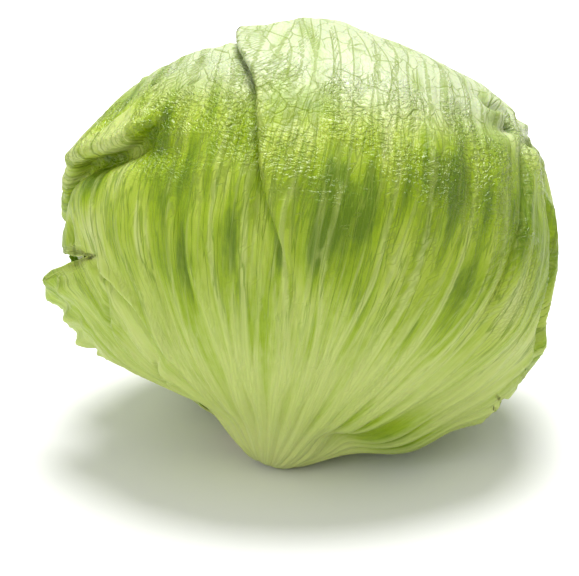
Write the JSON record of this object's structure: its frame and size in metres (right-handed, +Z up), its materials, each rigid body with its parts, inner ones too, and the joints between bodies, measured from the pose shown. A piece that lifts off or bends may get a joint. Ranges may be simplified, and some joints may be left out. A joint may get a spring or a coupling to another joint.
{
  "type": "iceberg lettuce",
  "caption": "Round head of crisp lettuce: a packed heart on a cut stub, wrapped in broad ribbed leaves, resting on its underside.",
  "frame": {"origin": "on the flat of the underside that the head rests on, at table level, below and just behind the head's middle", "axes": "+Z up as it rests; -Y towards the side where the outermost leaf's ribs fan up from the heel; +X to that view's right"},
  "size_m": [0.1666, 0.1515, 0.1303],
  "materials": {
    "outer_leaf": "waxy leaf, satin",
    "wrapper_leaf": "waxy leaf, satin",
    "inner_leaf": "waxy leaf, satin",
    "heart": "waxy leaf, satin",
    "stub": "dried cut stalk, matte"
  },
  "bodies": {
    "root": {"heart": "heart", "cut_stub": "stub", "front_leaf": "outer_leaf", "back_leaf": "outer_leaf", "right_leaf": "wrapper_leaf", "left_leaf": "wrapper_leaf", "crown_leaf": "inner_leaf"}
  },
  "joints": []
}
